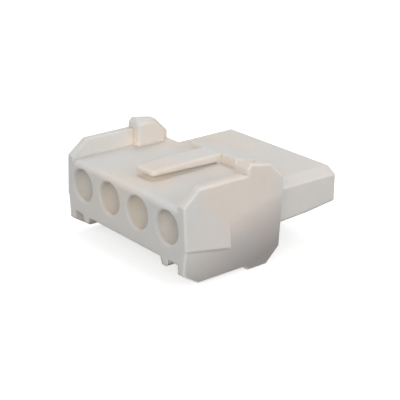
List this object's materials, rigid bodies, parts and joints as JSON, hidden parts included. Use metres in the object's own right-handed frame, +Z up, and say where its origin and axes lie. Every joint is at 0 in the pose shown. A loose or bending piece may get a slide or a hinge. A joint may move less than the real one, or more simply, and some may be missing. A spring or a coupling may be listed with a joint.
{
  "type": "wire to board connector housing",
  "caption": "Moulded plug housing with round wire-entry cavities, a keyed mating nose, flared side ears, and a top lever with a locking barb; holds crimped socket contacts.",
  "frame": {"origin": "Under the middle of the housing, on the plane that the two ears stand on.", "axes": "X runs across the circuits, +Y points out of the mating nose, +Z points up to the latch side."},
  "size_m": [0.0218, 0.022, 0.0119],
  "materials": {
    "nylon": "natural nylon, satin, slightly translucent"
  },
  "bodies": {
    "root": {"housing": "nylon"}
  },
  "joints": []
}
